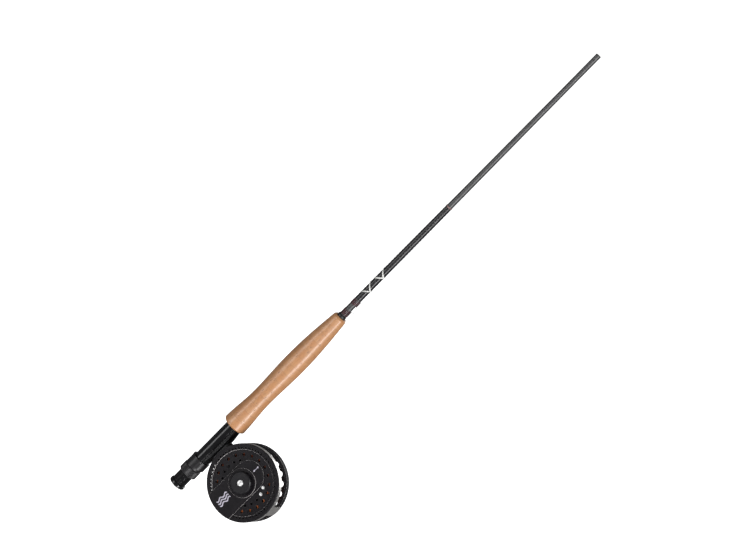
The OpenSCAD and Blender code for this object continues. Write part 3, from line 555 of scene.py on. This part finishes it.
def grip_profile():
    """The heights and radii of the grip's profile, without its two end faces and the levels of its bores."""
    dip_share = 0.88
    heights, radii = np.concatenate([rod_outline(node) for node in RINGS], axis=1)
    heights, first = np.unique(heights, return_index=True)
    heights, radii = heights[1:-1], radii[first][1:-1]
    for _ in range(3):
        padded = np.concatenate([radii[:1], radii, radii[-1:]])
        outer = radii > dip_share * np.maximum(padded[:-2], padded[2:])
        heights, radii = heights[outer], radii[outer]
    return heights, radii


def cork_ring(node, seed, look, profile):
    """A turned ring of cork with its pits and a faint groove at each glued joint."""
    rng = np.random.RandomState(seed)
    outline = rod_outline(node)
    low, high = outline[0][0], outline[0][-1]
    bore = bore_radius(node)
    columns = 240
    rows = 40
    end_rows = 6
    end = 0.6 * MM
    lip = 0.25 * MM
    dusk_reach = 0.3 * MM
    heights = np.concatenate([np.linspace(low, low + end, end_rows, endpoint=False),
                              np.linspace(low + end, high - end, rows - 2 * end_rows),
                              np.linspace(high, high - end, end_rows, endpoint=False)[::-1]])
    radius = np.interp(heights, outline[0], outline[1])
    curved = (heights > profile[0][0]) & (heights < profile[0][-1])
    radius[curved] = np.minimum(smooth_curve(heights[curved], *profile), outline[1].max())
    angle = np.linspace(0, 2 * math.pi, columns, endpoint=False)
    gap = np.minimum(heights - low, high - heights)
    joint = 0.015 * MM * np.exp(-(gap / lip) ** 2)
    cut = np.zeros((rows, columns))
    stain = np.zeros((rows, columns))
    for _ in range(rng.randint(14, 24)):
        centre = rng.uniform(low, high)
        turn = rng.uniform(0, 2 * math.pi)
        long_half = rng.uniform(0.35, 1.7) * MM
        thin_half = rng.uniform(0.18, 0.42) * MM
        lean = rng.normal(0, 0.35)
        depth = rng.uniform(0.05, 0.22) * MM
        across = (((angle - turn + math.pi) % (2 * math.pi)) - math.pi) * radius.mean()
        dz = heights[:, None] - centre
        along = dz * math.cos(lean) + across[None, :] * math.sin(lean)
        side = -dz * math.sin(lean) + across[None, :] * math.cos(lean)
        near = np.exp(-((along / long_half) ** 2 + (side / thin_half) ** 2) ** 1.5)
        cut = np.maximum(cut, depth * near)
        stain = np.maximum(stain, near * rng.uniform(0.45, 1.0))
    outer = radius[:, None] - joint[:, None] - cut
    radii = np.concatenate([np.full((1, columns), bore), outer, np.full((1, columns), bore)])
    heights = np.concatenate([[low], heights, [high]])
    piece = add_piece(node + "_skin", [around(radii, heights, columns)], look, "cork", "root", node)
    # The two end faces and the bore stay flat.
    for face in piece.data.polygons:
        face.use_smooth = columns <= face.index < rows * columns
    flat = np.zeros((1, columns))
    dusk = 0.3 * np.exp(-(gap / dusk_reach) ** 2)[:, None] * rng.uniform(0.4, 1, (1, columns))
    set_attribute(piece, "pit", np.concatenate([flat, np.maximum(stain, dusk), flat]))
    set_attribute(piece, "tone", np.full((rows + 2, columns), rng.uniform(0, 1)))


def ridges(position, pitch):
    """The round tops of turns laid side by side, from 0 in the grooves to 1 on top."""
    across = 2 * (position / pitch % 1) - 1
    return np.sqrt(np.clip(1 - across ** 2, 0, 1))


def hull_radius(angle, blank, foot_at, foot):
    """The radius of a thread drawn tight round the blank and a wire foot beside it."""
    grazing = 0.05
    far = 1.0
    facing = np.linspace(-math.pi, math.pi, 361)
    reach = np.maximum(blank, foot_at * np.cos(facing) + foot)
    lean = np.cos(angle[:, None] - facing[None, :])
    return np.min(np.where(lean > grazing, reach / np.maximum(lean, grazing), far), axis=1)


def wound(low, high, bore, outer, rise):
    """A whipping of thread turns from one height to another; outer is one radius, or one for each column."""
    steps = 6
    rows = int(round((high - low) / THREAD)) * steps
    heights = np.linspace(low, high, rows)
    angle = np.linspace(0, 2 * math.pi, COLUMNS, endpoint=False)
    turns = ridges(heights[:, None] - low + THREAD * angle[None, :] / (2 * math.pi), THREAD)
    body = np.broadcast_to(outer, (rows, COLUMNS)) - rise * (1 - turns)
    radii = np.concatenate([np.full((1, COLUMNS), bore), body, np.full((1, COLUMNS), bore)])
    return around(radii, np.concatenate([[low], heights, [high]]), COLUMNS)


def make_whippings(look):
    """The two whippings that hold the hook keeper's feet."""
    angle = np.linspace(0, 2 * math.pi, COLUMNS, endpoint=False)
    points = np.array([vert.co for vert in nodes["keeper_wraps"].data.vertices])
    split = middle("keeper_wraps").z
    bore = bore_radius("keeper_wraps")
    wire_out = points[:, 0].max()
    wire_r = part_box("hook_keeper")[1].y
    grids = []
    for part in (points[points[:, 2] < split], points[points[:, 2] > split]):
        low, high = part[:, 2].min(), part[:, 2].max()
        plain = np.abs(part[:, 1]).max()
        shell = plain - bore
        outer = hull_radius(angle, plain, wire_out - wire_r - shell, wire_r + shell)
        grids.append(wound(low, high, bore, outer, 0.05 * MM))
    add_piece("keeper_whipping", grids, look, "dark_thread", "root", "keeper_wraps")


def make_long_wrap(look):
    """The long wrap under epoxy, a little uneven and rounded off at its ends."""
    rows = 220
    uneven = 0.008 * MM
    flow = 0.01 * MM
    outline = rod_outline("butt_wrap")
    low, high = outline[0][0], outline[0][-1]
    bore = bore_radius("butt_wrap")
    angle = np.linspace(0, 2 * math.pi, COLUMNS, endpoint=False)
    heights = np.linspace(low, high, rows)
    gap = np.minimum(heights - low, high - heights)
    radius = np.interp(heights, outline[0], outline[1])
    swell = uneven * np.sin(heights / (6.3 * MM)) - uneven
    rounded = 0.12 * MM * np.exp(-gap / (0.5 * MM))
    sag = flow * np.cos(angle[None, :] * 2 + heights[:, None] / (9 * MM))
    outer = (radius + swell - rounded)[:, None] + sag
    narrowing = outline[1][-1] - outline[1][0]
    low_bore = np.full((1, COLUMNS), bore - narrowing)
    radii = np.concatenate([low_bore, outer, np.full((1, COLUMNS), bore)])
    grid = around(radii, np.concatenate([[low], heights, [high]]), COLUMNS)
    add_piece("epoxied_wrap", [grid], look, "gloss_wrap", "root", "butt_wrap")


def make_trim(look):
    """The metallic trim ring at the long wrap's upper end."""
    low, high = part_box("trim_wrap")
    grid = wound(low.z, high.z, bore_radius("trim_wrap"), high.y, 0.06 * MM)
    add_piece("trim_turns", [grid], look, "metallic_thread", "root", "trim_wrap")


def tube_grid(path, radius):
    """A closed tube along a closed path."""
    sides = 8
    ahead = np.roll(path, -1, axis=0) - np.roll(path, 1, axis=0)
    ahead /= np.linalg.norm(ahead, axis=1, keepdims=True)
    outward = path * [1, 1, 0]
    outward /= np.linalg.norm(outward, axis=1, keepdims=True)
    side = np.cross(ahead, outward)
    side /= np.linalg.norm(side, axis=1, keepdims=True)
    outward = np.cross(side, ahead)
    turn = np.linspace(0, 2 * math.pi, sides, endpoint=False)
    return (path[:, None, :] + radius * (np.cos(turn)[None, :, None] * outward[:, None, :]
                                         + np.sin(turn)[None, :, None] * side[:, None, :]))


def make_crossings(look):
    """White threads laid side by side in slanting rounds, which cross on the reel's side of the rod."""
    points = np.array([vert.co for vert in nodes["cross_wrap"].data.vertices])
    middle_z = middle("cross_wrap").z
    slant = math.tan(math.radians(43))
    angle = np.linspace(0, 2 * math.pi, COLUMNS, endpoint=False)
    grids = []
    for part in (points[points[:, 2] < middle_z], points[points[:, 2] > middle_z]):
        around_z = np.hypot(part[:, 0], part[:, 1])
        surface, top = around_z.min(), around_z.max()
        low, high = part[:, 2].min(), part[:, 2].max()
        centre = (low + high) / 2
        rise = 4 * surface * slant
        width = high - low - rise
        strands = max(3, round(width / (top - surface)))
        thread = width / strands / 2
        lift = (surface + top) / 2
        for way in (-1, 1):
            for index in range(strands):
                offset = (index - (strands - 1) / 2) * width / strands
                over = 0.5 * thread * way * np.exp(-((angle + math.pi) % (2 * math.pi) - math.pi) ** 2 / 0.3)
                radius = lift + np.zeros_like(angle) + np.clip(over, 0, top - lift)
                path = np.stack([radius * np.cos(angle), radius * np.sin(angle),
                                 centre + offset + way * slant * surface * (1 - np.cos(angle))], axis=-1)
                grids.append(tube_grid(path, min(thread, (top - surface) / 2)))
    add_piece("white_crossings", grids, look, "white_thread", "root", "cross_wrap")


def make_backing(look):
    """The wound backing: rows of line laid side by side round the arbor, and the rows' ends at both sides."""
    low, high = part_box("backing_winding")
    outer = (high.x - low.x) / 2
    points = np.array([vert.co for vert in nodes["backing_winding"].data.vertices]) - np.array(reel_axis)
    arbor = np.hypot(points[:, 0], points[:, 2]).min()
    line = 0.8 * MM
    steps = 8
    side = int((outer - arbor) / line) * steps
    width = int((high.y - low.y) / line) * steps
    corner = 0.9 * MM
    climb = np.linspace(arbor, outer, side)
    across = np.linspace(low.y, high.y, width)
    dip = 0.22 * MM
    side_dip = dip * (1 - ridges(climb - arbor, line))
    top_dip = dip * (1 - ridges(across - low.y, line))
    ease = np.clip((climb - (outer - corner)) / corner, 0, 1) ** 2 * corner * 0.6
    radii = np.concatenate([climb, outer - top_dip, climb[::-1]])
    heights = np.concatenate([low.y + side_dip + ease, across, (high.y - side_dip - ease)[::-1]])
    rng = np.random.RandomState(3)
    columns = 220
    angle = np.linspace(0, 2 * math.pi, columns, endpoint=False)
    wobble = sum(rng.uniform(-0.06, 0) * MM * (1 + np.sin(angle * k + rng.uniform(0, 6))) for k in (2, 3, 5))
    on_top = radii[:, None] > outer - 1 * MM
    grid = around(radii[:, None] + wobble[None, :] * on_top, heights, columns)
    turned = np.stack([grid[..., 0] + reel_axis.x, grid[..., 2], grid[..., 1] + reel_axis.z], axis=-1)
    add_piece("wound_backing", [turned[::-1]], look, "backing", "spool", "backing_winding")


# ---- The scene ----

make_camera()
make_stage()
looks = make_materials()
finish_cad(looks)
profile = grip_profile()
for seed, ring in enumerate(RINGS, 11):
    cork_ring(ring, seed, looks["cork"], profile)
make_whippings(looks["dark_thread"])
make_long_wrap(looks["gloss_wrap"])
make_crossings(looks["white_thread"])
make_trim(looks["metallic_thread"])
make_backing(looks["backing"])
